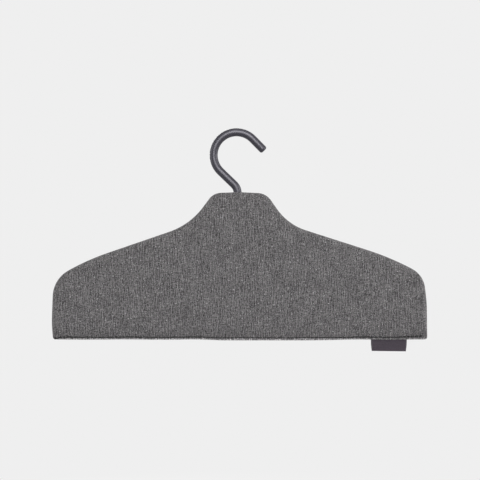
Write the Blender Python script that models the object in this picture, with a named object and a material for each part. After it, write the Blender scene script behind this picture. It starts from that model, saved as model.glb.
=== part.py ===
import math

import bmesh
import bpy
import numpy as np
from mathutils import Matrix, Vector

# Steaming hanger: a padded, fabric-covered garment board on a swivelling hook.
# Metres, +Z up. The origin is the rail seat, the inside crown of the hook, where the
# rail carries it. The front faces -Y, and the hook turns about the vertical line x = y = 0.

# Hook: a coated round rod, bent in the X-Z plane.
ROD_RADIUS = 0.00475
HOOK_INNER_RADIUS = 0.0221
HOOK_LEAN = -0.0013
TIP_SLOPE = math.radians(45.4)
TIP_LENGTH = 0.0187
NECK_SLOPE = math.radians(44.0)
NECK_BEND_RADIUS = 0.014
TIP_CHAMFER = 0.0007
CROWN_STEPS = 26
NECK_BEND_STEPS = 6
ROD_RESOLUTION = 6

# Foot of the hook: a threaded spigot that turns in a flanged bush and is held by a nut.
COLLAR_Z = -0.0755
SHOULDER_STEP = 0.0001
SPIGOT_RADIUS = 0.0030
SPIGOT_END_Z = -0.1020
SPIGOT_CHAMFER = 0.0005
RUNNING_GAP = 0.0003
BUSH_FLANGE_RADIUS = 0.0058
BUSH_FLANGE_THICKNESS = 0.0012
BUSH_RADIUS = 0.0045
WASHER_RADIUS = 0.0060
WASHER_THICKNESS = 0.0016
NUT_ACROSS_FLATS = 0.0100
NUT_HEIGHT = 0.0060
NUT_CHAMFER = 0.0006

# Outline of the sewn cover. Each corner of the right half has its distance from the middle,
# its drop below the top line, its fillet radius and the steps round that fillet.
COVER_TOP_Z = -0.0648
COVER_CORNERS = {
    "top_centre": (0.0, -0.0010, 0.150, 10),
    "neck_corner": (0.0316, 0.0025, 0.020, 5),
    "shoulder_start": (0.0569, 0.0384, 0.0753, 5),
    "shoulder_middle": (0.1761, 0.0780, 0.321, 3),
    "shoulder_end": (0.2186, 0.1003, 0.0355, 6),
    "side_swell": (0.2203, 0.1420, 0.150, 2),
    "hem_corner": (0.2196, 0.1738, 0.0030, 2),
}
HEM_Z = COVER_TOP_Z - COVER_CORNERS["hem_corner"][1]
SMALLEST_RADIUS = 0.0010

# Section of the padded sleeve, as half thicknesses from its middle plane.
FABRIC = 0.0007
SEAM_HALF_GAP = 0.00015
EDGE_ROUND = 0.008
EDGE_FULLNESS = 2.5
EDGE_HEIGHT = 0.0074
CROWN_HEIGHT = 0.0080
CROWN_REACH = 0.040
HEM_HALF_GAP = 0.0009
HEM_LIP = 0.0017
HEM_LIP_WIDTH = 0.004
HEM_LIP_ROUND = 0.0006
HEM_RISE_END = 0.018
SLEEVE_HALF_WIDTH = 0.0090
SLEEVE_HEIGHT = 0.0065

# Distances from the outline at which a sewn panel has a ring of points.
COVER_RINGS = (0.0, 0.00003, 0.0006, 0.002, 0.005, 0.010, 0.018)
INNER_RINGS = (0.005, 0.010, 0.018)
INNER_HEM_RINGS = (0.018, 0.022, 0.027)
GRID_X = (0.0, 0.040, 0.080, 0.125, 0.170)
GRID_Z = (-0.110, -0.150, -0.175, -0.198)
HEM_CUTS = (0.008, 0.013, 0.0185)
HEM_CORNER_CUTS = (0.2176, 0.2146, 0.2096)

# Layers inside the sleeve, each 0.3 mm clear of the next.
LAYER_GAP = 0.0003
LINING_THICKNESS = 0.0004
CORE_HALF_THICKNESS = 0.0025
CORE_INSET = 0.007
CORE_HEM_INSET = 0.010
CORE_RIM_WALL = 0.003
CORE_WEB_HALF = 0.0007
RIB_THICKNESS = 0.0018
RIB_PITCH = 0.036
RIB_COUNT = 5
LONG_RIB_Z = -0.192
BRACE_START = (0.010, -0.125)
BRACE_END = (0.205, -0.172)

# Neck boss of the core, with the bush bore and the nut pocket.
BOSS_HALF_WIDTH = 0.0120
BOSS_HALF_THICKNESS = 0.0060
BOSS_BOTTOM_Z = -0.1160
BOSS_BEVEL = 0.0015
POCKET_HALF_WIDTH = 0.0080
POCKET_TOP_Z = COLLAR_Z - 0.0155
POCKET_BOTTOM_Z = POCKET_TOP_Z - 0.0180
NOTCH_HALF_WIDTH = 0.0135
NOTCH_BOTTOM_Z = -0.1180

# Woven tab, folded once and caught in the hem.
TAB_CENTRE_X = 0.1752
TAB_TOP_HALF_WIDTH = 0.0211
TAB_BOTTOM_HALF_WIDTH = 0.0206
TAB_HALF_THICKNESS = 0.0003
TAB_FOLD_ROUND = 0.00027
TAB_TOP_Z = HEM_Z + 0.005
TAB_BOTTOM_Z = HEM_Z - 0.0133

ROUND_STEPS = 32

COLOURS = {
    "hook_coating": ((0.065, 0.065, 0.068), 0.50, 0.0),
    "zinc_steel": ((0.55, 0.56, 0.57), 0.35, 1.0),
    "bush_plastic": ((0.60, 0.60, 0.58), 0.45, 0.0),
    "core_plastic": ((0.10, 0.10, 0.10), 0.55, 0.0),
    "pad_felt": ((0.62, 0.60, 0.55), 0.95, 0.0),
    "heat_lining": ((0.60, 0.61, 0.63), 0.40, 0.6),
    "cover_fabric": ((0.141, 0.136, 0.138), 0.90, 0.0),
    "label_ribbon": ((0.060, 0.052, 0.065), 0.80, 0.0),
}


def clear_scene():
    for item in list(bpy.data.objects):
        bpy.data.objects.remove(item, do_unlink=True)


def material(name):
    colour, roughness, metallic = COLOURS[name]
    made = bpy.data.materials.get(name) or bpy.data.materials.new(name)
    made.use_nodes = True
    shader = made.node_tree.nodes["Principled BSDF"]
    shader.inputs["Base Color"].default_value = (*colour, 1.0)
    shader.inputs["Roughness"].default_value = roughness
    shader.inputs["Metallic"].default_value = metallic
    return made


def place(name, data, finish, pivot, parent=None, smooth_angle=35.0):
    """Make an object from world-space data, with its origin at the pivot."""
    item = bpy.data.objects.new(name, data)
    bpy.context.scene.collection.objects.link(item)
    data.transform(Matrix.Translation(-pivot))
    item.location = pivot
    if isinstance(data, bpy.types.Mesh):
        data.shade_smooth()
        data.set_sharp_from_angle(angle=math.radians(smooth_angle))
    data.materials.append(material(finish))
    if parent:
        item.parent = parent
        item.matrix_parent_inverse = Matrix.Translation(-parent.location)
    return item


def mesh_from(bm, name):
    data = bpy.data.meshes.new(name)
    bm.to_mesh(data)
    bm.free()
    return data


def combine(item, bm, name, operation="DIFFERENCE", crossing=False):
    """Cut the bmesh, given in world space, out of an object, or join it on.

    crossing says that the bmesh is made of bodies that cross each other.
    """
    tool = bpy.data.objects.new(name, mesh_from(bm, name))
    bpy.context.scene.collection.objects.link(tool)
    tool.hide_render = True
    tool.display_type = "WIRE"
    step = item.modifiers.new(name, "BOOLEAN")
    step.operation = operation
    step.use_self = crossing
    step.object = tool
    return tool


def box(bm, low, high):
    """Add a box to the bmesh, from its low corner to its high corner."""
    low, high = Vector(low), Vector(high)
    size = high - low
    shape = Matrix.Translation((low + high) / 2) @ Matrix.Diagonal((*size, 1.0))
    return bmesh.ops.create_cube(bm, size=1.0, matrix=shape)["verts"]


def turned(profile, steps=ROUND_STEPS):
    """Revolve a closed (radius, z) profile about the swivel axis."""
    bm = bmesh.new()
    verts = [bm.verts.new((radius, 0.0, z)) for radius, z in profile]
    edges = [bm.edges.new((verts[i - 1], verts[i])) for i in range(len(verts))]
    bmesh.ops.spin(bm, geom=verts + edges, cent=(0, 0, 0), axis=(0, 0, 1),
                   angle=2 * math.pi, steps=steps, use_merge=True)
    bmesh.ops.remove_doubles(bm, verts=bm.verts, dist=1e-6)
    bmesh.ops.recalc_face_normals(bm, faces=bm.faces)
    return bm


def line_crossing(point_a, along_a, point_b, along_b):
    reach = np.linalg.solve(np.array([along_a, -along_b]).T, point_b - point_a)
    return point_a + along_a * reach[0]


def filleted(corners, radii, steps):
    """Round each corner of a closed polygon with an arc, the same steps for any radius."""
    points = []
    count = len(corners)
    for i in range(count):
        corner = corners[i]
        back = corners[i - 1] - corner
        ahead = corners[(i + 1) % count] - corner
        back, ahead = back / np.linalg.norm(back), ahead / np.linalg.norm(ahead)
        half = math.acos(max(-1.0, min(1.0, float(back @ ahead)))) / 2
        centre = corner + (back + ahead) / np.linalg.norm(back + ahead) * radii[i] / math.sin(half)
        first = corner + back * radii[i] / math.tan(half) - centre
        last = corner + ahead * radii[i] / math.tan(half) - centre
        start = math.atan2(first[1], first[0])
        sweep = (math.atan2(last[1], last[0]) - start + math.pi) % (2 * math.pi) - math.pi
        for k in range(steps[i] + 1):
            angle = start + sweep * k / steps[i]
            points.append(centre + radii[i] * np.array([math.cos(angle), math.sin(angle)]))
    return points


def outline(inset=0.0, hem_inset=None):
    """Outline of the cover in X and Z, moved inwards, clockwise from the top centre."""
    hem_inset = inset if hem_inset is None else hem_inset
    right = [(x, COVER_TOP_Z - drop, radius, steps)
             for x, drop, radius, steps in COVER_CORNERS.values()]
    left = [(-x, z, radius, steps) for x, z, radius, steps in reversed(right[1:])]
    corners = right + left
    hem_edge = len(right) - 1
    count = len(corners)
    spots = [np.array(corner[:2]) for corner in corners]
    along = [spots[(i + 1) % count] - spots[i] for i in range(count)]
    along = [edge / np.linalg.norm(edge) for edge in along]
    inward = [np.array([edge[1], -edge[0]]) for edge in along]
    shift = [hem_inset if i == hem_edge else inset for i in range(count)]
    moved, radii = [], []
    for i in range(count):
        from_edge = spots[i] + inward[i - 1] * shift[i - 1]
        to_edge = spots[i] + inward[i] * shift[i]
        moved.append(line_crossing(from_edge, along[i - 1], to_edge, along[i]))
        turn = along[i - 1][0] * along[i][1] - along[i - 1][1] * along[i][0]
        grow = inset if turn > 0 else -inset
        radii.append(max(corners[i][2] + grow, SMALLEST_RADIUS))
    return filleted(moved, radii, [corner[3] for corner in corners])


def smooth_step(value):
    value = max(0.0, min(1.0, value))
    return value * value * (3 - 2 * value)


def distance_to_seam(x, z, seam):
    """Distance from a point to the sewn edge, the outline without its hem."""
    point = np.array([x, z])
    starts, ends = seam[:-1], seam[1:]
    runs = ends - starts
    part = ((point - starts) * runs).sum(1) / (runs * runs).sum(1)
    nearest = starts + runs * np.clip(part, 0.0, 1.0)[:, None]
    return float(np.sqrt(((nearest - point) ** 2).sum(1)).min())


def seam_line():
    """The outline from the left hem corner over the top to the right hem corner."""
    points = outline()
    right_count = sum(steps + 1 for _, _, _, steps in COVER_CORNERS.values())
    return np.array(points[right_count:] + points[:right_count])


SEAM = seam_line()


def half_thickness(x, z):
    """Half the sleeve's thickness at a point of its face."""
    from_seam = distance_to_seam(x, z, SEAM)
    from_hem = max(0.0, z - HEM_Z)
    rounding = 1 - max(0.0, 1 - from_seam / EDGE_ROUND) ** EDGE_FULLNESS
    edge = SEAM_HALF_GAP + (EDGE_HEIGHT - SEAM_HALF_GAP) * math.sqrt(rounding)
    lip = HEM_HALF_GAP + (HEM_LIP - HEM_HALF_GAP) * math.sqrt(min(1.0, from_hem / HEM_LIP_ROUND))
    rise = smooth_step((from_hem - HEM_LIP_WIDTH) / (HEM_RISE_END - HEM_LIP_WIDTH))
    hem = lip + (EDGE_HEIGHT - lip) * rise
    nearest = min(from_seam, from_hem)
    crown = smooth_step((nearest - EDGE_ROUND) / (CROWN_REACH - EDGE_ROUND))
    sleeve = SLEEVE_HEIGHT * math.sqrt(max(0.0, 1 - (x / SLEEVE_HALF_WIDTH) ** 2))
    top = sleeve if z > COVER_TOP_Z - EDGE_ROUND else 0.0
    return max(min(edge, hem), top) + (CROWN_HEIGHT - EDGE_HEIGHT) * crown


def flat_panel(insets, hem_insets):
    """A flat sewn panel in X and Z: rings in from its outline, then a grid on its middle."""
    bm = bmesh.new()
    rings = []
    for inset, hem_inset in zip(insets, hem_insets):
        points = outline(inset, hem_inset)
        rings.append([bm.verts.new((x, 0.0, z)) for x, z in points])
    for outer, inner in zip(rings, rings[1:]):
        for i in range(len(outer)):
            bm.faces.new((outer[i - 1], outer[i], inner[i], inner[i - 1]))
    middle = [bm.faces.new(rings[-1])]
    for x in GRID_X:
        for spot in (-x, x):
            middle = cut(bm, middle, (spot, 0, 0), (1, 0, 0))
    for z in GRID_Z:
        middle = cut(bm, middle, (0, 0, z), (0, 0, 1))
    return bm


def cut(bm, faces, spot, normal):
    """Cut a region of faces by a plane and return all of its faces."""
    parts = set(faces)
    for face in faces:
        parts.update(face.edges)
        parts.update(face.verts)
    before = set(bm.faces)
    bmesh.ops.bisect_plane(bm, geom=list(parts), dist=1e-6, plane_co=spot, plane_no=normal)
    return [face for face in faces if face.is_valid] + [
        face for face in bm.faces if face not in before]


def cut_hem(bm):
    """Add the lines along which the cover is drawn in to its flat hem."""
    for rise in HEM_CUTS:
        cut(bm, bm.faces[:], (0, 0, HEM_Z + rise), (0, 0, 1))
    for x in HEM_CORNER_CUTS:
        for spot in (-x, x):
            low = [face for face in bm.faces
                   if face.calc_center_median().z < HEM_Z + HEM_CUTS[-1]]
            cut(bm, low, (spot, 0, 0), (1, 0, 0))


def cut_neck_notch(bm):
    """Leave room in a layer for the neck boss."""
    for spot in (-NOTCH_HALF_WIDTH, NOTCH_HALF_WIDTH):
        cut(bm, bm.faces[:], (spot, 0, 0), (1, 0, 0))
    neck = [face for face in bm.faces if abs(face.calc_center_median().x) < NOTCH_HALF_WIDTH]
    neck = cut(bm, neck, (0, 0, NOTCH_BOTTOM_Z), (0, 0, 1))
    spare = [face for face in neck if face.calc_center_median().z > NOTCH_BOTTOM_Z]
    bmesh.ops.delete(bm, geom=spare, context="FACES")


def pad_out(bm, side, drop):
    """Lift a flat panel to the sleeve's face, the front to -Y and the back to +Y.

    drop is how far the layer lies under the outside of the cover.
    """
    for vert in bm.verts:
        vert.co.y = side * (half_thickness(vert.co.x, vert.co.z) - drop)
    bmesh.ops.triangulate(bm, faces=bm.faces)
    bm.normal_update()
    if sum(face.normal.y * face.calc_area() for face in bm.faces) * side < 0:
        bmesh.ops.reverse_faces(bm, faces=bm.faces)


def add_thickness(item, thickness, even):
    shell = item.modifiers.new("thickness", "SOLIDIFY")
    shell.thickness = thickness
    shell.offset = -1.0
    shell.use_even_offset = even
    shell.thickness_clamp = 1.0


def make_cover(name, side, pivot, parent):
    bm = flat_panel(COVER_RINGS, COVER_RINGS)
    cut_hem(bm)
    pad_out(bm, side, 0.0)
    cover = place(name, mesh_from(bm, name), "cover_fabric", pivot, parent)
    add_thickness(cover, FABRIC, even=True)
    return cover


def make_lining(name, side, pivot, parent):
    bm = flat_panel(INNER_RINGS, INNER_HEM_RINGS)
    cut_neck_notch(bm)
    pad_out(bm, side, FABRIC + LAYER_GAP)
    lining = place(name, mesh_from(bm, name), "heat_lining", pivot, parent)
    add_thickness(lining, LINING_THICKNESS, even=False)
    return lining


def make_pad(name, side, pivot, parent):
    """A felt pad with a flat back against the core and the sleeve's crown on its face."""
    bm = flat_panel(INNER_RINGS, INNER_HEM_RINGS)
    cut_neck_notch(bm)
    pad_out(bm, side, FABRIC + LINING_THICKNESS + 2 * LAYER_GAP)
    rim = [edge for edge in bm.edges if edge.is_boundary]
    walls = bmesh.ops.extrude_edge_only(bm, edges=rim)["geom"]
    foot = [part for part in walls if isinstance(part, bmesh.types.BMVert)]
    for vert in foot:
        vert.co.y = side * (CORE_HALF_THICKNESS + LAYER_GAP)
    bmesh.ops.holes_fill(bm, edges=[edge for edge in bm.edges if edge.is_boundary])
    bmesh.ops.recalc_face_normals(bm, faces=bm.faces)
    return place(name, mesh_from(bm, name), "pad_felt", pivot, parent)


def slab(points, low_y, high_y):
    """Extrude an outline in X and Z between two values of Y."""
    bm = bmesh.new()
    face = bm.faces.new([bm.verts.new((x, low_y, z)) for x, z in points])
    raised = bmesh.ops.extrude_face_region(bm, geom=[face])["geom"]
    moved = [part for part in raised if isinstance(part, bmesh.types.BMVert)]
    bmesh.ops.translate(bm, verts=moved, vec=(0, high_y - low_y, 0))
    bmesh.ops.recalc_face_normals(bm, faces=bm.faces)
    return bm


def rib_bars():
    """Bars longer and deeper than the ribs: uprights, a long rib, two braces and a boss pad."""
    bm = bmesh.new()
    half, deep = RIB_THICKNESS / 2, 2 * BOSS_HALF_THICKNESS
    low, high = HEM_Z, 0.0
    reach = COVER_CORNERS["side_swell"][0]
    for k in range(1, RIB_COUNT + 1):
        for x in (-k * RIB_PITCH, k * RIB_PITCH):
            box(bm, (x - half, -deep, low), (x + half, deep, high))
    box(bm, (-reach, -deep, LONG_RIB_Z - half), (reach, deep, LONG_RIB_Z + half))
    for sign in (-1, 1):
        start = Vector((sign * BRACE_START[0], 0, BRACE_START[1]))
        run = Vector((sign * BRACE_END[0], 0, BRACE_END[1])) - start
        bar = box(bm, (0, -deep, -half), (run.length, deep, half))
        turn = Matrix.Rotation(-math.atan2(run.z, run.x), 4, "Y")
        bmesh.ops.transform(bm, verts=bar, matrix=Matrix.Translation(start) @ turn)
    margin = CORE_RIM_WALL
    box(bm, (-BOSS_HALF_WIDTH - margin, -deep, BOSS_BOTTOM_Z - margin),
        (BOSS_HALF_WIDTH + margin, deep, high))
    return bm


def make_core(pivot, parent):
    """The moulded board: a rim wall, a thin web, ribs on both sides and the neck boss."""
    body = slab(outline(CORE_INSET, CORE_HEM_INSET), -CORE_HALF_THICKNESS, CORE_HALF_THICKNESS)
    core = place("core_panel", mesh_from(body, "core_panel"), "core_plastic", pivot, parent)
    inner = outline(CORE_INSET + CORE_RIM_WALL, CORE_HEM_INSET + CORE_RIM_WALL)
    for side, name in ((-1, "front_cells"), (1, "back_cells")):
        ends = sorted((side * CORE_WEB_HALF, side * 2 * CORE_HALF_THICKNESS))
        cells = combine(core, slab(inner, *ends), name)
        combine(cells, rib_bars(), name + "_ribs", crossing=True)
    boss_top = COLLAR_Z - BUSH_FLANGE_THICKNESS - 2 * LAYER_GAP
    boss = bmesh.new()
    box(boss, (-BOSS_HALF_WIDTH, -BOSS_HALF_THICKNESS, BOSS_BOTTOM_Z),
        (BOSS_HALF_WIDTH, BOSS_HALF_THICKNESS, boss_top))
    bmesh.ops.bevel(boss, geom=boss.edges[:], offset=BOSS_BEVEL, segments=2, profile=0.5,
                    affect="EDGES")
    combine(core, boss, "neck_boss", operation="UNION")
    bore = BUSH_RADIUS + LAYER_GAP
    mouth = BUSH_FLANGE_RADIUS + 2 * LAYER_GAP
    below = (POCKET_TOP_Z + POCKET_BOTTOM_Z) / 2
    profile = [(0.0, 0.0), (mouth, 0.0), (mouth, boss_top), (bore, boss_top),
               (bore, below), (0.0, below)]
    combine(core, turned(profile), "bush_bore")
    pocket = bmesh.new()
    deep = 2 * BOSS_HALF_THICKNESS
    box(pocket, (-POCKET_HALF_WIDTH, -deep, POCKET_BOTTOM_Z),
        (POCKET_HALF_WIDTH, deep, POCKET_TOP_Z))
    combine(core, pocket, "nut_pocket")
    return core


def make_bush(pivot, parent):
    top = COLLAR_Z - LAYER_GAP
    under = top - BUSH_FLANGE_THICKNESS
    end = POCKET_TOP_Z + LAYER_GAP
    bore = SPIGOT_RADIUS + RUNNING_GAP
    profile = [(bore, top), (BUSH_FLANGE_RADIUS, top), (BUSH_FLANGE_RADIUS, under),
               (BUSH_RADIUS, under), (BUSH_RADIUS, end), (bore, end)]
    return place("neck_bush", mesh_from(turned(profile), "neck_bush"), "bush_plastic",
                 pivot, parent)


def make_washer(pivot):
    top = POCKET_TOP_Z - LAYER_GAP
    bottom = top - WASHER_THICKNESS
    bore = SPIGOT_RADIUS + RUNNING_GAP
    profile = [(bore, top), (WASHER_RADIUS, top), (WASHER_RADIUS, bottom), (bore, bottom)]
    return place("hook_washer", mesh_from(turned(profile), "hook_washer"), "zinc_steel", pivot)


def make_nut(pivot):
    """A hexagon nut with chamfered corners and a plain bore."""
    top = POCKET_TOP_Z - WASHER_THICKNESS - 2 * LAYER_GAP
    radius = NUT_ACROSS_FLATS / 2 / math.cos(math.pi / 6)
    bm = bmesh.new()
    bmesh.ops.create_cone(bm, cap_ends=True, segments=6, radius1=radius, radius2=radius,
                          depth=NUT_HEIGHT,
                          matrix=Matrix.Translation((0, 0, top - NUT_HEIGHT / 2)))
    rims = [edge for edge in bm.edges if abs(edge.verts[0].co.z - edge.verts[1].co.z) < 1e-6]
    bmesh.ops.bevel(bm, geom=rims, offset=NUT_CHAMFER, segments=1, affect="EDGES")
    nut = place("hook_nut", mesh_from(bm, "hook_nut"), "zinc_steel", pivot)
    bore = SPIGOT_RADIUS + RUNNING_GAP
    above, below = top + NUT_HEIGHT, top - 2 * NUT_HEIGHT
    combine(nut, turned([(0.0, above), (bore, above), (bore, below), (0.0, below)]), "nut_bore")
    return nut


def arc(centre, radius, start, end, steps):
    """Points round an arc in X and Z, its angles counted up from +X."""
    angles = [start + (end - start) * k / steps for k in range(steps + 1)]
    return [centre + radius * Vector((math.cos(angle), math.sin(angle))) for angle in angles]


def hook_route():
    """Centreline of the hook as (x, z, radius) points, from the tip to the spigot's end."""
    crown = arc(Vector((HOOK_LEAN, -HOOK_INNER_RADIUS)), HOOK_INNER_RADIUS + ROD_RADIUS,
                math.pi / 2 - TIP_SLOPE, math.pi * 1.5 - NECK_SLOPE, CROWN_STEPS)
    tip_along = Vector((math.cos(TIP_SLOPE), -math.sin(TIP_SLOPE)))
    tip_end = crown[0] + tip_along * TIP_LENGTH
    slope = Vector((math.cos(NECK_SLOPE), -math.sin(NECK_SLOPE)))
    corner = crown[-1] + slope * (-crown[-1].x / slope.x)
    turn = math.pi / 2 - NECK_SLOPE
    bend_centre = corner - NECK_BEND_RADIUS * Vector((1.0, math.tan(turn / 2)))
    bend = arc(bend_centre, NECK_BEND_RADIUS, turn, 0.0, NECK_BEND_STEPS)
    points = [(*tip_end, ROD_RADIUS - TIP_CHAMFER),
              (*(tip_end - tip_along * TIP_CHAMFER), ROD_RADIUS)]
    points += [(*spot, ROD_RADIUS) for spot in crown + bend]
    points += [(0.0, COLLAR_Z + SHOULDER_STEP, ROD_RADIUS),
               (0.0, COLLAR_Z, SPIGOT_RADIUS),
               (0.0, SPIGOT_END_Z + SPIGOT_CHAMFER, SPIGOT_RADIUS),
               (0.0, SPIGOT_END_Z, SPIGOT_RADIUS - SPIGOT_CHAMFER)]
    return points


def make_hook(pivot):
    route = hook_route()
    data = bpy.data.curves.new("hook", "CURVE")
    data.dimensions = "3D"
    data.bevel_depth = ROD_RADIUS
    data.bevel_resolution = ROD_RESOLUTION
    data.use_fill_caps = True
    line = data.splines.new("POLY")
    line.points.add(len(route) - 1)
    for point, (x, z, radius) in zip(line.points, route):
        point.co = (x, 0.0, z, 1.0)
        point.radius = radius / ROD_RADIUS
    line.use_smooth = True
    return place("hook", data, "hook_coating", pivot)


def make_tab(pivot, parent):
    """The folded ribbon, a little narrower at its fold."""
    points = [(TAB_CENTRE_X - TAB_TOP_HALF_WIDTH, TAB_TOP_Z),
              (TAB_CENTRE_X + TAB_TOP_HALF_WIDTH, TAB_TOP_Z),
              (TAB_CENTRE_X + TAB_BOTTOM_HALF_WIDTH, TAB_BOTTOM_Z),
              (TAB_CENTRE_X - TAB_BOTTOM_HALF_WIDTH, TAB_BOTTOM_Z)]
    bm = slab(points, -TAB_HALF_THICKNESS, TAB_HALF_THICKNESS)
    fold = [edge for edge in bm.edges
            if all(abs(vert.co.z - TAB_BOTTOM_Z) < 1e-6 for vert in edge.verts)
            and abs(edge.verts[0].co.x - edge.verts[1].co.x) > TAB_TOP_HALF_WIDTH]
    bmesh.ops.bevel(bm, geom=fold, offset=TAB_FOLD_ROUND, segments=2, profile=0.5,
                    affect="EDGES")
    return place("label_tab", mesh_from(bm, "label_tab"), "label_ribbon", pivot, parent)


def main():
    clear_scene()
    pivot = Vector((0.0, 0.0, COLLAR_Z))
    swivel = bpy.data.objects.new("hook_swivel", None)
    bpy.context.scene.collection.objects.link(swivel)
    swivel.location = pivot
    make_hook(pivot)
    make_washer(pivot)
    make_nut(pivot)
    make_bush(pivot, swivel)
    make_core(pivot, swivel)
    for side, word in ((-1, "front"), (1, "back")):
        make_pad(word + "_pad", side, pivot, swivel)
        make_lining(word + "_lining", side, pivot, swivel)
        make_cover(word + "_cover", side, pivot, swivel)
    make_tab(pivot, swivel)


main()
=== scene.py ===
import math
from functools import partial

import bmesh
import bpy
import numpy as np
from mathutils import Matrix, Vector
from mathutils.kdtree import KDTree


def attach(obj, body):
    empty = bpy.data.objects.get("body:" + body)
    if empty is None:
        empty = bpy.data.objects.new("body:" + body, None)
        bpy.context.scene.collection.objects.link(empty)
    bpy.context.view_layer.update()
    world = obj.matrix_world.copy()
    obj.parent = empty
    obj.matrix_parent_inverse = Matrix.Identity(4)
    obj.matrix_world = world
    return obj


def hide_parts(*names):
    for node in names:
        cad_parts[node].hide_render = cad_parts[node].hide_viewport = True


# Steaming hanger: the looks of the padded garment board and its hook, in metres.
# The front faces -Y, and the rail seat inside the hook's crown is the origin.

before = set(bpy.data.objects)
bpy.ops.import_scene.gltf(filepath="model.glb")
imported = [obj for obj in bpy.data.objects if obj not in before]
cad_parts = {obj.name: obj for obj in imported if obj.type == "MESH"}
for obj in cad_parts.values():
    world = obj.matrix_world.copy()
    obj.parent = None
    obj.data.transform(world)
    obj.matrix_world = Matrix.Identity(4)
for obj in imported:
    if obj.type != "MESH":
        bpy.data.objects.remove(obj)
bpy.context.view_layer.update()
mm = 0.001
closeTo = 0.01 * mm  # points nearer than this count as one
tiny = 1e-9
noiseReach = (0.3, 0.7)  # where most values of a noise lie
sides = {"front": -1, "back": 1}
print("frame loaded:", len(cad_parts), "nodes")


# Camera, light and stage

photograph = {
    "lens": 100.0,
    "sensor": 36.0,
    "width": 563.7 * mm,  # what the picture spans at the shank
    "middle": (2.8 * mm, -121.75 * mm),
    "paper": 0.863,  # the background's grey, linear
}

lighting = {
    "ambient": 0.440,
    "lamps": {  # place, watts, width, height, whether it lights matt cloth
        "frontSoftbox": ((0.03, -0.80, 0.05), 1.9, 0.50, 0.40, True),
        "rightSoftbox": ((2.05, -0.28, 0.40), 27.0, 0.90, 1.30, True),
        "topSoftbox": ((0.10, -0.40, 1.25), 3.0, 0.90, 0.50, True),
        "leftSoftbox": ((-2.05, -0.38, 0.20), 11.5, 0.90, 1.30, True),
        "backSoftbox": ((-0.30, 1.90, 0.35), 11.0, 0.80, 0.60, True),
        "gleamPanel": ((0.14, -1.50, 0.66), 38.0, 1.15, 1.00, False),
    },
}

floorSpec = {
    "radius": 1.30,
    "clearRadius": 0.45,  # inside it the floor shows its own shade
    "height": -0.62,
    "sides": 96,
    "roughness": 0.9,
}


def addObject(name, data):
    made = bpy.data.objects.new(name, data)
    bpy.context.scene.collection.objects.link(made)
    return made


def makeCamera():
    data = bpy.data.cameras.new("frontView")
    data.lens = photograph["lens"]
    data.sensor_width = photograph["sensor"]
    camera = addObject("frontView", data)
    distance = photograph["width"] * data.lens / data.sensor_width
    x, z = photograph["middle"]
    camera.location = (x, -distance, z)
    camera.rotation_euler = (math.pi / 2, 0, 0)
    bpy.context.scene.camera = camera
    bpy.context.scene.view_settings.view_transform = "Standard"


def makeLamps():
    aim = Vector((0, 0, photograph["middle"][1]))
    for name, (place, watts, width, height, onMatt) in lighting["lamps"].items():
        data = bpy.data.lights.new(name, "AREA")
        data.shape = "RECTANGLE"
        data.size, data.size_y = width, height
        data.energy = watts
        lamp = addObject(name, data)
        lamp.location = place
        lamp.rotation_euler = (aim - Vector(place)).to_track_quat("-Z", "Y").to_euler()
        lamp.visible_diffuse = onMatt


def coat(item, material):
    item.data.materials.clear()
    item.data.materials.append(material)


# Node helpers: every material is built from these.

def startMaterial(name):
    made = bpy.data.materials.new(name)
    made.use_nodes = True
    return made, made.node_tree, made.node_tree.nodes["Principled BSDF"]


def feed(tree, socket, value):
    if isinstance(value, bpy.types.NodeSocket):
        tree.links.new(value, socket)
    elif isinstance(value, (tuple, list)) and len(value) == 3 and socket.type == "RGBA":
        socket.default_value = (*value, 1.0)
    else:
        socket.default_value = value


def feedAll(tree, node, inputs):
    for key, value in inputs.items():
        feed(tree, node.inputs[key], value)


# A shader node with its inputs, numbers or other nodes' outputs, and its settings
def addNode(tree, kind, inputs=None, **settings):
    made = tree.nodes.new("ShaderNode" + kind)
    for key, value in settings.items():
        setattr(made, key, value)
    feedAll(tree, made, inputs or {})
    return made


def maths(tree, operation, *values):
    made = addNode(tree, "Math", operation=operation)
    for socket, value in zip(made.inputs, values):
        feed(tree, socket, value)
    return made.outputs[0]


def blendColours(tree, factor, low, high):
    made = addNode(tree, "Mix", data_type="RGBA")
    feed(tree, made.inputs["Factor"], factor)
    feed(tree, made.inputs["A"], low)
    feed(tree, made.inputs["B"], high)
    return made.outputs["Result"]


def spread(tree, value, low, high, newLow=0.0, newHigh=1.0):
    made = addNode(tree, "MapRange", {
        "Value": value, "From Min": low, "From Max": high,
        "To Min": newLow, "To Max": newHigh})
    return made.outputs["Result"]


def noiseAt(tree, vector, scale, detail=2.0, roughness=0.5):
    made = addNode(tree, "TexNoise", {
        "Vector": vector, "Scale": scale, "Detail": detail, "Roughness": roughness})
    return made.outputs["Fac"]


# Ends a finish: its tone, its other sockets, and its relief as a bump's depth and strength
def endFinish(tree, shader, look, tone, height):
    depth, strength = look["relief"]
    bump = addNode(tree, "Bump", {
        "Height": height, "Distance": depth, "Strength": strength})
    feedAll(tree, shader, {
        "Base Color": tone, "Normal": bump.outputs["Normal"], **look["sockets"]})


def objectPoint(tree):
    return addNode(tree, "TexCoord").outputs["Object"]


# A finish from two noises, each a scale, a detail and a roughness: a cloud for its tone,
# a grain for its relief, and either of them for its roughness
def plainFinish(name, look):
    made, tree, shader = startMaterial(name)
    point = objectPoint(tree)
    noises = {kind: noiseAt(tree, point, *look[kind]) for kind in ("cloud", "grain")}
    tone = blendColours(tree, noises["cloud"], *look["tones"])
    endFinish(tree, shader, look, tone, noises["grain"])
    if "roughness" in look:
        kind, *levels = look["roughness"]
        feed(tree, shader.inputs["Roughness"], spread(tree, noises[kind], *noiseReach, *levels))
    return made


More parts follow.
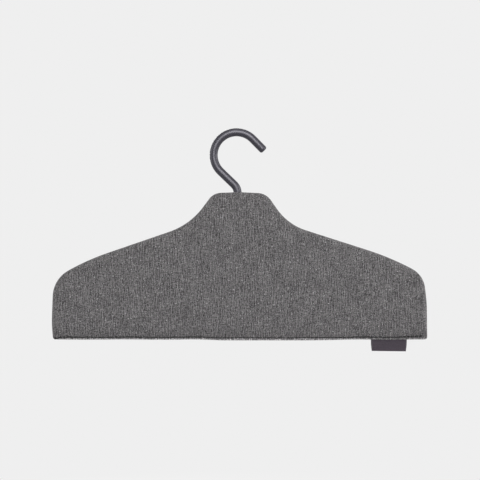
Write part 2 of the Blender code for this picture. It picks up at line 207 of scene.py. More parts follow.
def makeWorld():
    world = bpy.data.worlds.new("studio")
    bpy.context.scene.world = world
    world.use_nodes = True
    tree = world.node_tree
    tree.nodes.clear()
    seen = addNode(tree, "LightPath")
    paper = maths(tree, "MAXIMUM", seen.outputs["Is Camera Ray"],
                  maths(tree, "MAXIMUM", seen.outputs["Is Glossy Ray"],
                        seen.outputs["Is Transmission Ray"]))
    level = spread(tree, paper, 0.0, 1.0, lighting["ambient"], photograph["paper"])
    light = addNode(tree, "Background", {"Color": (1, 1, 1), "Strength": level})
    addNode(tree, "OutputWorld", {"Surface": light.outputs[0]})


def floorMaterial():
    made, tree, shader = startMaterial("paleFloor")
    paper = (photograph["paper"],) * 3
    feedAll(tree, shader, {"Base Color": paper, "Roughness": floorSpec["roughness"]})
    glow = addNode(tree, "Emission", {"Color": paper, "Strength": 1.0})
    away = addNode(tree, "VectorMath", {0: objectPoint(tree)}, operation="LENGTH")
    rim = spread(tree, away.outputs["Value"], floorSpec["clearRadius"], floorSpec["radius"])
    mixed = addNode(tree, "MixShader", {
        0: rim, 1: shader.outputs[0], 2: glow.outputs[0]})
    feed(tree, tree.nodes["Material Output"].inputs["Surface"], mixed.outputs[0])
    return made


def makeFloor():
    bpy.ops.object.select_all(action="DESELECT")
    bpy.ops.mesh.primitive_circle_add(
        vertices=floorSpec["sides"], radius=floorSpec["radius"], fill_type="NGON",
        location=(0, 0, floorSpec["height"]))
    floor = bpy.context.object
    floor.name = "paleFloor"
    coat(floor, floorMaterial())


makeCamera()
makeLamps()
makeWorld()
makeFloor()
print("camera, lamps and floor ready")


# Hook: a coated rod, extruded and spun from its tip to its spigot.

rod = {
    "radius": 4.75 * mm,
    "innerRadius": 22.1 * mm,
    "lean": -1.3 * mm,  # how far the crown's middle stands off the shank
    "tipSlope": math.radians(45.4),
    "tipLength": 19.1 * mm,
    "neckSlope": math.radians(44.0),
    "bendRadius": 14.0 * mm,
    "tipRound": 2.4 * mm,
    "sides": 48,
    "crownSteps": 64,
    "bendSteps": 18,
    "tipSteps": 6,
    "mergeWithin": 0.005 * mm,
    "shadeAngle": math.radians(35),
    "collar": -75.5 * mm,
    "spigotRadius": 3.0 * mm,
    "spigotEnd": -102.0 * mm,
    "spigotChamfer": 0.5 * mm,
}


def editOn(item):
    bpy.context.view_layer.objects.active = item
    bpy.ops.object.mode_set(mode="EDIT")


def editOff():
    bpy.ops.object.mode_set(mode="OBJECT")


def extrudeBy(move):
    bpy.ops.mesh.extrude_region_move(TRANSFORM_OT_translate={"value": tuple(move)})


# A disc to extrude from, all selected in edit mode
def startDisc(name, corners, radius, place, turn):
    bpy.ops.object.select_all(action="DESELECT")
    bpy.ops.mesh.primitive_circle_add(vertices=corners, radius=radius, fill_type="NGON",
                                      location=place, rotation=(0, turn, 0))
    disc = bpy.context.object
    disc.name = name
    bpy.ops.object.transform_apply(location=True, rotation=True, scale=True)
    editOn(disc)
    bpy.ops.mesh.select_all(action="SELECT")
    return disc


# Select the edges whose points pass a test, in edit mode
def selectEdges(item, test):
    bpy.ops.mesh.select_all(action="DESELECT")
    bm = bmesh.from_edit_mesh(item.data)
    for edge in [edge for edge in bm.edges if all(map(test, edge.verts))]:
        edge.select_set(True)
    bm.select_flush_mode()
    bmesh.update_edit_mesh(item.data)


def makeHook():
    tipAlong, neckAlong = [Vector((math.cos(slope), 0, -math.sin(slope)))
                           for slope in (rod["tipSlope"], rod["neckSlope"])]
    crown = Vector((rod["lean"], 0, -rod["innerRadius"]))
    crownRadius = rod["innerRadius"] + rod["radius"]
    tipTurn = math.pi / 2 - rod["tipSlope"]
    neckTurn = math.pi * 1.5 - rod["neckSlope"]
    crownStart, crownEnd = [crown + crownRadius * Vector((math.cos(turn), 0, math.sin(turn)))
                            for turn in (tipTurn, neckTurn)]
    tipEnd = crownStart + tipAlong * rod["tipLength"]
    corner = crownEnd - neckAlong * crownEnd.x / neckAlong.x
    bendTurn = math.pi / 2 - rod["neckSlope"]
    run = rod["bendRadius"] * math.tan(bendTurn / 2)
    bendStart = corner - neckAlong * run
    bendCentre = corner + Vector((-rod["bendRadius"], 0, -run))

    hook = startDisc("coated_hook", rod["sides"], rod["radius"], tipEnd,
                     math.pi / 2 + rod["tipSlope"])
    extrudeBy(crownStart - tipEnd)
    bpy.ops.mesh.spin(steps=rod["crownSteps"], angle=neckTurn - tipTurn, center=crown,
                      axis=(0, 1, 0))
    extrudeBy(bendStart - crownEnd)
    bpy.ops.mesh.spin(steps=rod["bendSteps"], angle=bendTurn, center=bendCentre,
                      axis=(0, -1, 0))
    extrudeBy((0, 0, rod["collar"] - bendCentre.z))
    bpy.ops.mesh.inset(thickness=rod["radius"] - rod["spigotRadius"])
    extrudeBy((0, 0, rod["spigotEnd"] + rod["spigotChamfer"] - rod["collar"]))
    extrudeBy((0, 0, -rod["spigotChamfer"]))
    share = 1 - rod["spigotChamfer"] / rod["spigotRadius"]
    bpy.ops.transform.resize(value=(share, share, 1), center_override=(0, 0, rod["spigotEnd"]))
    selectEdges(hook, lambda vert: abs((vert.co - tipEnd).dot(tipAlong)) < closeTo)
    bpy.ops.mesh.bevel(offset=rod["tipRound"], segments=rod["tipSteps"], affect="EDGES")
    bpy.ops.mesh.select_all(action="SELECT")
    bpy.ops.mesh.remove_doubles(threshold=rod["mergeWithin"])
    bpy.ops.mesh.normals_make_consistent(inside=False)
    editOff()
    bpy.ops.object.shade_smooth_by_angle(angle=rod["shadeAngle"])
    return hook


coating = {
    "tones": ((0.0135, 0.0120, 0.0200), (0.0205, 0.0190, 0.0280)),
    "cloud": (90.0, 3.0),
    "grain": (2600.0, 2.0),
    "roughness": ("grain", 0.36, 0.42),
    "relief": (0.02 * mm, 0.08),
    "sockets": {"Specular IOR Level": 0.52, "Specular Tint": (0.955, 0.94, 1.0, 1.0)},
}

hook = makeHook()
coat(hook, plainFinish("satinCoating", coating))
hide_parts("hook")
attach(hook, "hook")
print("hook:", len(hook.data.polygons), "faces")


# Sewn sleeve: a front and a back panel, drawn in to a seam round the shoulders and to a
# flat hem. Sizes are half thicknesses from the middle plane, and distances in from the edge.

sleeve = {
    "middle": 2.2 * mm,  # the sleeve hangs a little off the shank
    "top": -64.8 * mm,
    "hem": -238.6 * mm,
    "hemBow": 0.95 * mm,
    "bowStart": (-50 * mm, 38 * mm),  # from where, and over how far, the hem drops to its bow
    "bowEnd": (150 * mm, 75 * mm),  # up to where, and over how far, it climbs back
    "hemRipple": (0.15, 14 * mm),  # share of the bow, and length, at the hem's ends
    "sagReach": (25 * mm, 1.8 * mm),  # how far up the face goes along with the hem
    "corners": {  # out from the middle, down from the top, fillet radius
        "left": ((0.0305, 0.0018, 0.0181), (0.0581, 0.0389, 0.0835), (0.1787, 0.0803, 0.281),
                 (0.2184, 0.1026, 0.0354), (0.2204, 0.1540, 0.150), (0.2188, 0.1738, 0.003)),
        "right": ((0.0312, 0.0022, 0.0193), (0.0570, 0.0388, 0.0664), (0.1770, 0.0773, 0.326),
                  (0.2160, 0.0978, 0.0292), (0.2199, 0.1316, 0.150), (0.2203, 0.1738, 0.003)),
    },
    "topRise": -0.8 * mm,
    "topRadius": 0.150,
    "arcStep": 0.8 * mm,
    "arcSteps": 8,  # at least
    "profileSteps": 600,
    "columns": 1.20 * mm,  # width of a column of faces
    "medial": (-0.196, -0.183, 0.187),  # the line that the rings close on: height and ends
    "rings": 46,
    "edgeRings": (0.0, 0.12, 0.35, 0.7, 1.15, 1.65, 2.2, 2.9, 3.8, 5.0, 6.4, 8.0),  # mm
    "unsteadyRings": 4,  # so near the seam that they take the next ring's way out
    "overHem": 0.5 * mm,  # from here up an inset counts from the seam
    "leastSlant": (0.3, 0.05),  # of a ray to the seam and to the hem, when insets are reckoned
    "plateau": 7.4 * mm,
    "crown": 8.0 * mm,
    "crownReach": 40 * mm,
    "edgeRound": 7.0 * mm,
    "edgeFullness": 2.6,
    "fold": 0.6 * mm,  # radius at which the cloth turns in to a seam
    "foldSteps": 4,
    "allowance": (1.2 * mm, 2.6 * mm, 4.2 * mm),
    "seamGap": 0.15 * mm,
    "hemGap": 0.32 * mm,
    "lip": 1.75 * mm,
    "lipWidth": 4.0 * mm,
    "lipRound": 0.7 * mm,
    "hemRise": 18.0 * mm,
    "hemOpening": (6 * mm, 3 * mm),  # from how high, and over how far, the hem's gap opens
    "eyeHalfWidth": 11.0 * mm,
    "eyeGap": 5.05 * mm,
    "eyeOpening": (12 * mm, 8 * mm),  # the same for the eye, down from the top
    "ridgeHeight": 1.05 * mm,  # where the shank lifts the front
    "ridgeWidth": 3.2 * mm,
    "ridgeEnd": (-86 * mm, -104 * mm),
    "ridgeFade": 3.0 * mm,
    "thickness": 0.6 * mm,
}

stitching = {
    "pitch": 4.7 * mm,
    "length": 4.3 * mm,
    "width": 0.68 * mm,  # half the thread's width
    "height": 2.80 * mm,  # above the hem
    "leftRise": (9.0 * mm, 0.35),  # over how far the row climbs, and its first share
    "arch": 0.9,  # of the width
    "shape": ((-1.0, 0.45), (-0.80, 0.80), (-0.45, 0.98), (0.0, 1.0), (0.45, 0.98),
              (0.80, 0.80), (1.0, 0.45)),  # along a stitch: place and thickness
    "sides": 8,
    "endFullness": 0.35,  # how much thicker the stitches are at both ends
    "endReach": (8 * mm, 25 * mm),  # how far from an end they stay thick, then take to thin
    "groove": 0.45 * mm,
    "grooveWidth": 1.1 * mm,
    "pucker": 0.16 * mm,
    "puckerReach": (5 * mm, 2 * mm),  # how far above the row it fades out, and in
    "edgeFade": (0.3 * mm, 1.5 * mm),  # how far from the seam it starts, then takes to deepen
    "reach": (-0.2155, 0.2185),
    "rightRise": (0.183, 0.012, 0.9 * mm),  # from where, over how far, and how much higher
    "waver": (0.20 * mm, 70 * mm, -126 * mm),  # how far it wanders, over what length, from where
    "tiltStep": 1.0 * mm,
    "keptSag": (0.3, 0.5),  # how much of the hem's sag lowers the row, and then its stitches
    "uneven": (0.06 * mm, 0.02, 0.07),  # in height, tilt and thickness
    "seeds": {-1: 7, 1: 11},  # of the front and the back
}


def smooth(value):
    value = np.clip(value, 0.0, 1.0)
    return value * value * (3 - 2 * value)


# Points round the fillet of one corner of the outline
def roundedCorner(before, corner, after, radius):
    back, ahead = before - corner, after - corner
    back, ahead = back / np.linalg.norm(back), ahead / np.linalg.norm(ahead)
    half = math.acos(np.clip(back @ ahead, -1, 1)) / 2
    centre = corner + (back + ahead) / np.linalg.norm(back + ahead) * radius / math.sin(half)
    first = corner + back * radius / math.tan(half) - centre
    last = corner + ahead * radius / math.tan(half) - centre
    start = math.atan2(first[1], first[0])
    sweep = (math.atan2(last[1], last[0]) - start + math.pi) % (2 * math.pi) - math.pi
    steps = max(sleeve["arcSteps"], 2 * round(abs(sweep) * radius / sleeve["arcStep"] / 2))
    angles = start + sweep * np.arange(steps + 1) / steps
    return centre + radius * np.column_stack([np.cos(angles), np.sin(angles)])


# The seam's line in X and Z, clockwise from the left end of the hem to its right end
def sleeveOutline():
    corners = [(-x, drop, radius) for x, drop, radius in reversed(sleeve["corners"]["left"])]
    corners += [(0.0, -sleeve["topRise"], sleeve["topRadius"]), *sleeve["corners"]["right"]]
    spots = [np.array([x + sleeve["middle"], sleeve["top"] - drop]) for x, drop, _ in corners]
    count = len(corners)
    arcs = [roundedCorner(spots[i - 1], spots[i], spots[(i + 1) % count], corners[i][2])
            for i in range(count)]
    return np.concatenate(arcs)


# How far each point of a line lies along it
def runsAlong(line):
    return np.concatenate([[0], np.cumsum(np.linalg.norm(np.diff(line, axis=0), axis=1))])


# Points round the sleeve: even steps over the seam, then back along the hem.
# Between the medial line's ends, every point of the hem stands under one of the seam,
# so that rays from both sides meet on that line.
def edgePoints(step):
    along = runsAlong(seamPoints)
    spots = np.linspace(0, along[-1], round(along[-1] / step) + 1)
    over = np.column_stack([np.interp(spots, along, seamPoints[:, i]) for i in (0, 1)])
    height, left, right = sleeve["medial"]
    paired = [x for x, z in over if left < x < right and z > height]
    fan = round((over[-1, 0] - right) / step)
    under = [*np.linspace(over[-1, 0], right, fan, endpoint=False)[1:], *reversed(paired),
             *np.linspace(over[0, 0], left, fan, endpoint=False)[:0:-1]]
    return np.vstack([over, np.column_stack([under, np.full(len(under), sleeve["hem"])])])


# Distance of each point to an open line of points, in X and Z, and the place on it
def nearestOn(points, line):
    nearest = np.full(len(points), np.inf)
    places = np.zeros_like(points)
    for start, end in zip(line[:-1], line[1:]):
        run = end - start
        length = run @ run
        if length < tiny ** 2:
            continue
        spots = start + np.clip(((points - start) @ run) / length, 0, 1)[:, None] * run
        away = np.linalg.norm(points - spots, axis=1)
        closer = away < nearest
        nearest[closer], places[closer] = away[closer], spots[closer]
    return nearest, places


seamPoints = sleeveOutline()
closedSeam = np.vstack([seamPoints, seamPoints[:1]])


# How far the stitch line runs above the hem: lower at the left end, where it starts
def stitchHeight(x):
    climb, low = stitching["leftRise"]
    start = low + (1 - low) * smooth((x - stitching["reach"][0]) / climb)
    begin, over, higher = stitching["rightRise"]
    size, length, crest = stitching["waver"]
    return (stitching["height"] * start + higher * smooth((x - begin) / over)
            + size * np.cos(2 * np.pi * (x - crest) / length)
            - stitching["keptSag"][0] * hemSag(x))


# How much lower the hem hangs than at its ends: most right of the middle
def hemSag(x):
    (start, drop), (end, climb) = sleeve["bowStart"], sleeve["bowEnd"]
    rise = smooth((x - start) / drop) * smooth((end - x) / climb)
    share, length = sleeve["hemRipple"]
    return sleeve["hemBow"] * (rise + share * np.cos(x / length) * (1 - rise))


# Half the gap between the panels' edges, which opens at the neck for the shank
def eyeGap(x, z):
    wave = 0.5 + 0.5 * np.cos(np.pi * np.clip(x / sleeve["eyeHalfWidth"], -1, 1))
    (below, opening), (above, closing) = sleeve["eyeOpening"], sleeve["hemOpening"]
    nearTop = smooth((z - sleeve["top"] + below) / opening)
    nearHem = smooth((sleeve["hem"] + above - z) / closing)
    gap = sleeve["seamGap"] + (sleeve["hemGap"] - sleeve["seamGap"]) * nearHem
    return gap + (sleeve["eyeGap"] - sleeve["seamGap"]) * wave * nearTop


# Half thickness of the rounded edge along the seam
def seamProfile(fromSeam, gap):
    start = gap + sleeve["fold"]
    rounding = 1 - np.maximum(0, 1 - fromSeam / sleeve["edgeRound"]) ** sleeve["edgeFullness"]
    return start + (sleeve["plateau"] - start) * np.sqrt(rounding)


# Half thickness over the hem: a narrow lip, then a slope up to the padded face
def hemProfile(fromHem):
    start = sleeve["hemGap"] + sleeve["fold"]
    lipRound = np.sqrt(np.clip(1 - (1 - fromHem / sleeve["lipRound"]).clip(0) ** 2, 0, 1))
    lip = start + (sleeve["lip"] - start) * lipRound
    rise = smooth((fromHem - sleeve["lipWidth"]) / (sleeve["hemRise"] - sleeve["lipWidth"]))
    return lip + (sleeve["plateau"] - lip) * rise


# How much more cloth a profile takes than its flat width, from its far end to a point
def addedLength(profile, reach, distances):
    spots = np.linspace(0, reach, sleeve["profileSteps"])
    runs = np.hypot(np.diff(spots), np.diff(profile(spots))) - np.diff(spots)
    added = np.concatenate([np.cumsum(runs[::-1])[::-1], [0]])
    return np.interp(distances, spots, added)


# Half the sleeve's thickness at points of its face, or of the plain cushion under it
def faceHeight(x, z, fromSeam, plain):
    fromHem = np.maximum(0.0, z - sleeve["hem"])
    edge = seamProfile(fromSeam, eyeGap(x, z))
    hem = hemProfile(fromHem)
    inside = (np.minimum(fromSeam, fromHem) - sleeve["edgeRound"]) / sleeve["crownReach"]
    crown = (sleeve["crown"] - sleeve["plateau"]) * smooth(inside)
    if plain:
        return np.minimum(edge, hem) + crown
    high, low = sleeve["ridgeEnd"]
    ridge = sleeve["ridgeHeight"] * np.exp(-(x / sleeve["ridgeWidth"]) ** 2) * smooth(
        (z - low) / (high - low)) * smooth(fromSeam / sleeve["ridgeFade"])
    offLine = (fromHem - stitchHeight(x)) / stitching["grooveWidth"]
    wave = 0.5 + 0.5 * np.cos(2 * np.pi * (x - stitching["reach"][0]) / stitching["pitch"])
    clear, over = stitching["edgeFade"]
    ends = smooth((fromSeam - clear) / over)
    groove = (stitching["groove"] + stitching["pucker"] * wave) * np.exp(-offLine ** 2) * ends
    above = np.maximum(0, fromHem - stitchHeight(x))
    fadeOut, fadeIn = stitching["puckerReach"]
    drawn = stitching["pucker"] * wave * np.exp(-above / fadeOut) * smooth(above / fadeIn) * ends
    return np.minimum(edge, hem) + crown + ridge - groove - drawn


# Where rays start round the sleeve, which way they run, and how long they are
def sleeveRays(step, inset=0.0, hemInset=0.0):
    edge = edgePoints(step)
    height, left, right = sleeve["medial"]
    feet = np.column_stack([np.clip(edge[:, 0], left, right), np.full(len(edge), height)])
    inward = feet - edge
    lengths = np.linalg.norm(inward, axis=1)
    inward = inward / lengths[:, None]
    along = np.roll(edge, -1, axis=0) - np.roll(edge, 1, axis=0)
    along /= np.linalg.norm(along, axis=1)[:, None]
    square = inward[:, 0] * along[:, 1] - inward[:, 1] * along[:, 0]
    above = edge[:, 1] - sleeve["hem"]
    leastSquare, leastUp = sleeve["leastSlant"]
    skip = np.where(above > sleeve["overHem"], inset / np.maximum(square, leastSquare), 0.0)
    skip = np.maximum(skip, (hemInset - above).clip(0) / np.maximum(inward[:, 1], leastUp))
    return edge + inward * skip[:, None], inward, lengths - skip


# Points at distances in along the rays: flat, their way from the seam, and on the face
def facePoints(starts, inward, distances, side, plain=False, depth=0.0):
    flat = starts[:, None, :] + inward[:, None, :] * distances[:, :, None]
    x, z = flat[..., 0].ravel(), flat[..., 1].ravel()
    fromSeam, feet = nearestOn(flat.reshape(-1, 2), seamPoints)
    y = side * (faceHeight(x, z, fromSeam, plain) - depth)
    face = np.column_stack([x, y, z]).reshape(*distances.shape, 3)
    return flat, fromSeam, feet, face


def smoothObject(name, bm):
    data = bpy.data.meshes.new(name)
    bm.to_mesh(data)
    bm.free()
    data.shade_smooth()
    return addObject(name, data)


def thicken(item, thickness, offset):
    shell = item.modifiers.new("cloth", "SOLIDIFY")
    shell.thickness = thickness
    shell.offset = offset


# A mesh of a grid of points: rays round the sleeve that end on the medial line, or a ribbon
def gridMesh(name, grid, places=None, capped=False, closed=True):
    rayCount, rows = grid.shape[:2]
    bm = bmesh.new()
    verts = [bm.verts.new(spot) for spot in grid.reshape(-1, 3)]
    layer = bm.loops.layers.uv.new("cloth") if places is not None else None
    for ray in range(rayCount if closed else rayCount - 1):
        following = (ray + 1) % rayCount
        for ring in range(rows - 1):
            corners = (ray * rows + ring, following * rows + ring,
                       following * rows + ring + 1, ray * rows + ring + 1)
            made = bm.faces.new([verts[i] for i in corners])
            if layer:
                for loop, i in zip(made.loops, corners):
                    loop[layer].uv = places[i]
    bmesh.ops.remove_doubles(bm, verts=bm.verts, dist=closeTo)
    bm.normal_update()
    if capped:
        bmesh.ops.recalc_face_normals(bm, faces=bm.faces)
    return smoothObject(name, bm)


# Faces of an open skin turned to look away from the middle plane
def turnedOut(item, side):
    bm = bmesh.new()
    bm.from_mesh(item.data)
    if sum(made.normal.y * made.calc_area() for made in bm.faces) * side < 0:
        bmesh.ops.reverse_faces(bm, faces=bm.faces)
    bm.to_mesh(item.data)
    bm.free()


# Distances in from the edge for the rings of one ray: fine at the edge, then even
def ringDistances(length):
    edge = np.array(sleeve["edgeRings"]) * mm
    inner = sleeve["rings"] + 1 - len(edge)
    rest = edge[-1] + (length - edge[-1]) * np.arange(1, inner + 1) / inner
    return np.concatenate([edge, rest])


cushion = {
    "step": 5.0 * mm,
    "rings": 12,
    "frames": 20,
    "settings": {
        "quality": 8,
        "mass": 0.3,
        "tension_stiffness": 20,
        "compression_stiffness": 20,
        "bending_stiffness": 0.4,
        "shrink_min": -0.0003,
        "vertex_group_mass": "seams",
        "use_pressure": True,
        "uniform_pressure_force": 0.10,
    },
    "gravity": 0.02,
    "pinned": 1.0 * mm,  # how near a seam the cloth is held
    "cap": 0.7 * mm,  # no point moves farther
    "fade": 9.0 * mm,  # how far in from the edges it moves freely
    "neighbours": 6,
    "blur": 0.3 * mm,
}


# Cloth simulation of a panel's face over its pad: rest points and how far each moved
def swelling(side):
    starts, inward, lengths = sleeveRays(cushion["step"])
    shares = np.arange(cushion["rings"] + 1) / cushion["rings"]
    *_, grid = facePoints(starts, inward, lengths[:, None] * shares, side, plain=True)
    item = gridMesh("cushionTrial", grid)
    turnedOut(item, side)
    rest = np.array([vert.co[:] for vert in item.data.vertices])
    edges = nearestOn(rest[:, ::2], closedSeam)[0]
    pins = item.vertex_groups.new(name="seams")
    pins.add(np.nonzero(edges < cushion["pinned"])[0].tolist(), 1.0, "REPLACE")
    trial = item.modifiers.new("cloth", "CLOTH")
    for key, value in cushion["settings"].items():
        setattr(trial.settings, key, value)
    trial.settings.effector_weights.gravity = cushion["gravity"]
    trial.collision_settings.use_collision = False
    for number in range(1, cushion["frames"] + 1):
        bpy.context.scene.frame_set(number)
    shaped = item.evaluated_get(bpy.context.evaluated_depsgraph_get())
    moved = np.array([vert.co[:] for vert in shaped.data.vertices]) - rest
    bpy.context.scene.frame_set(1)
    sizes = np.linalg.norm(moved, axis=1) / mm
    print("cushion moved mm: mean %.2f most %.2f" % (sizes.mean(), sizes.max()))
    bpy.data.objects.remove(item)
    return rest, moved


# The face's points moved as the simulated cloth moved, capped and faded at the edges
def swollen(grid, side):
    rest, moved = swelling(side)
    size = np.linalg.norm(moved, axis=1)
    moved = moved * (np.tanh(size / cushion["cap"]) * cushion["cap"] /
                     np.maximum(size, tiny))[:, None]
    tree = KDTree(len(rest))
    for i, spot in enumerate(rest):
        tree.insert((spot[0], 0, spot[2]), i)
    tree.balance()
    points = grid.reshape(-1, 3)
    fade = smooth(nearestOn(points[:, ::2], closedSeam)[0] / cushion["fade"])
    shifts = np.zeros_like(points)
    for i, spot in enumerate(points):
        if fade[i] > 0:
            near = tree.find_n((spot[0], 0, spot[2]), cushion["neighbours"])
            weights = np.array([1 / (away + cushion["blur"]) ** 2 for _, _, away in near])
            shifts[i] = weights @ moved[[k for _, k, _ in near]] / weights.sum()
    return (points + shifts * fade[:, None]).reshape(grid.shape)


# One panel of the sleeve, as rays from the edge
def makePanel(name, side):
    starts, inward, lengths = sleeveRays(sleeve["columns"])
    distances = np.array([ringDistances(length) for length in lengths])
    flat, fromSeam, feet, face = facePoints(starts, inward, distances, side)
    face = swollen(face, side)

    # the cloth turns in round a small fold and runs on as the seam allowance
    gap = eyeGap(starts[:, 0], starts[:, 1])
    turns = []
    for k in range(1, sleeve["foldSteps"] + 1):
        angle = math.pi / 2 * k / sleeve["foldSteps"]
        turns.append((sleeve["fold"] * (1 - math.cos(angle)),
                      gap + sleeve["fold"] * (1 - math.sin(angle))))
    turns += [(reach, gap) for reach in sleeve["allowance"]]
    folded = [np.column_stack([starts[:, 0] + inward[:, 0] * reach, side * height,
                               starts[:, 1] + inward[:, 1] * reach])
              for reach, height in reversed(turns)]
    grid = np.concatenate([np.stack(folded, axis=1), face], axis=1)
    over = grid[..., 2] - sleeve["hem"]
    grid[..., 2] -= hemSag(grid[..., 0]) * np.mean(
        [smooth(1 - over / reach) for reach in sleeve["sagReach"]], axis=0)

    # the cloth's own flat place of every point: outwards by what the rounded edges take up
    away = (flat.reshape(-1, 2) - feet) / np.maximum(fromSeam, tiny)[:, None]
    away = away.reshape(flat.shape)
    steady = sleeve["unsteadyRings"]
    away[:, :steady] = away[:, steady:steady + 1]
    fromSeam = fromSeam.reshape(distances.shape)
    cloth = flat - away * addedLength(lambda spots: seamProfile(spots, sleeve["seamGap"]),
                                      sleeve["edgeRound"], fromSeam)[..., None]
    cloth[..., 1] -= addedLength(hemProfile, sleeve["hemRise"], flat[..., 1] - sleeve["hem"])
    onHem = starts[:, 1] < sleeve["hem"] + closeTo
    outward = np.where(onHem[:, None], (0.0, -1.0), -away[:, 0])
    turned = len(turns)
    runs = np.linalg.norm(np.diff(grid[:, :turned + 1], axis=1), axis=2)
    runs = np.cumsum(runs[:, ::-1], axis=1)[:, ::-1]
    cloth = np.concatenate([cloth[:, :1] + outward[:, None] * runs[..., None], cloth], axis=1)
    cloth[..., 0] *= -side
    panel = gridMesh(name, grid, cloth.reshape(-1, 2))
    turnedOut(panel, side)
    thicken(panel, sleeve["thickness"], -1)
    return panel


layers = {
    "inset": 5.0 * mm,
    "hemInset": 18.0 * mm,
    "step": 2.5 * mm,
    "rings": 22,
    "rimRings": (0.0, 0.25, 0.7, 1.5, 2.6, 4.2),  # mm
    "gap": 0.25 * mm,
    "lining": 0.35 * mm,
    "padFloor": 2.8 * mm,  # half thickness of the board that the pad lies on
    "rim": 2.5 * mm,
    "rimFloor": 0.35,  # of the pad's height, at its very edge
    "underEvery": 4,  # the flat side has every fourth ring
    "notch": (13.5 * mm, -118.0 * mm),  # half width and bottom, round the neck boss
    "cutter": (10 * mm, 5 * mm, 20 * mm),  # its block: rise over the top, middle and depth
}


# The rays and points of a layer that follows the sleeve's face from inside
def layerFace(side, depth):
    starts, inward, lengths = sleeveRays(layers["step"], layers["inset"], layers["hemInset"])
    rim = np.array(layers["rimRings"]) * mm
    inner = layers["rings"] - len(rim)
    even = np.arange(1, inner + 1) / inner
    away = np.concatenate([np.tile(rim, (len(lengths), 1)),
                           rim[-1] + (lengths - rim[-1])[:, None] * even], axis=1)
    *_, face = facePoints(starts, inward, away, side, plain=True, depth=depth)
    return face, away


# Cuts the neck's notch out of a layer with a block, and applies its modifiers
def cutNotch(item, side):
    half, bottom = layers["notch"]
    rise, place, depth = layers["cutter"]
    top = sleeve["top"] + rise
    bpy.ops.object.select_all(action="DESELECT")
    bpy.ops.mesh.primitive_cube_add(size=1, location=(0, side * place, (top + bottom) / 2))
    block = bpy.context.object
    block.scale = (2 * half, depth, top - bottom)
    bpy.ops.object.transform_apply(location=True, rotation=True, scale=True)
    cut = item.modifiers.new("notch", "BOOLEAN")
    cut.operation = "DIFFERENCE"
    cut.solver = "EXACT"
    cut.object = block
    bpy.ops.object.select_all(action="DESELECT")
    item.select_set(True)
    bpy.context.view_layer.objects.active = item
    for modifier in list(item.modifiers):
        bpy.ops.object.modifier_apply(modifier=modifier.name)
    bpy.data.objects.remove(block)


# A thin cloth between cover and pad
def makeLining(name, side):
    depth = sleeve["thickness"] + layers["gap"]
    grid, _ = layerFace(side, depth)
    lining = gridMesh(name, grid)
    turnedOut(lining, side)
    thicken(lining, layers["lining"], -1)
    cutNotch(lining, side)
    return lining


# A felt pad, flat on the board and rounded under the lining
def makePad(name, side):
    depth = sleeve["thickness"] + 2 * layers["gap"] + layers["lining"]
    grid, away = layerFace(side, depth)
    low = layers["rimFloor"]
    soft = low + (1 - low) * np.sqrt(1 - (1 - np.minimum(away / layers["rim"], 1)) ** 2)
    height = np.abs(grid[..., 1]) - layers["padFloor"]
    grid[..., 1] = side * (layers["padFloor"] + height * soft)
    under = grid[:, ::-layers["underEvery"]].copy()
    under = np.concatenate([under, grid[:, :1]], axis=1)[:, ::-1]
    under[..., 1] = side * layers["padFloor"]
    whole = np.concatenate([under[:, ::-1], grid], axis=1)
    pad = gridMesh(name, whole, capped=True)
    cutNotch(pad, side)
    return pad


weave = {
    "warpPitch": 0.80 * mm,
    "weftPitch": 0.74 * mm,
    "drift": (12.0, 1.0),  # noise by which all the yarns wander
    "driftSize": 2.4,  # in yarns, like the next size
    "fuzz": (2400.0, 3.0, 0.7),  # noise of their ragged sides
    "fuzzSize": 0.40,
    "warpRun": 44.0,  # picks over which a warp yarn changes its shade
    "weftRun": 9.0,
    "warpNoise": (13.713, 3.4),  # step from yarn to yarn in it, and its detail
    "weftNoise": (17.371, 1.0),
    "yarnRoughness": 0.93,  # of both noises
    "warpSpread": (0.38, 0.78),
    "weftSpread": (0.35, 0.65),
    "unlike": 0.34,  # how far a warp yarn differs from both its neighbours
    "speckle": 0.24,  # how much the shade jumps from crossing to crossing
    "warpOrder": (4, 0.014),  # every so many warp yarns come lighter, and how much
    "warpTones": ((0.032, 0.031, 0.031), (0.408, 0.392, 0.400)),
    "weftTones": ((0.018, 0.017, 0.018), (0.216, 0.207, 0.212)),
    "weftShare": 0.65,  # of its own tone where the weft lies on top
    "nep": (0.50, 0.49, 0.49),
    "nepNoise": (560.0, 1.0),
    "nepSpread": (0.68, 0.73),
    "clouds": (55.0, 3.0, 0.6),
    "cloudLight": (0.88, 1.12),
    "slub": (14.0 * mm, 1.3 * mm),  # thick places of the weft: length, height
    "slubSpread": (0.45, 0.75, 0.96, 1.26),
    "paintedFoldLight": (2.0 * mm, 1.2 * mm, 2.0),  # painted light along the hem's fold: from, to, how much
    "overTab": (177.6 * mm, 20.6 * mm, 1.5 * mm, 1.15),  # less painted light over the tab: middle, half, fade, how much
    # painted shade between the yarns: its tone, and the height under which a yarn turns to it
    "gap": (0.018, 0.017, 0.018),
    "gapShadeHeight": 0.60,  # under it a yarn turns to the painted shade's tone
    "fibre": (0.09 * mm, 0.7 * mm),
    "fibreNoise": (1.0, 2.0, 0.6),
    "fibreLight": (0.80, 1.25),
    "fibreRelief": 0.35,
    "yarnWidth": 0.94,  # of the pitch
    "swing": 0.42,  # how much of the height is the yarns' waving
    "relief": (0.22 * mm, 0.9),
    "sockets": {"Roughness": 0.92, "Specular IOR Level": 0.15, "Sheen Weight": 0.12,
                "Sheen Roughness": 0.45},
}


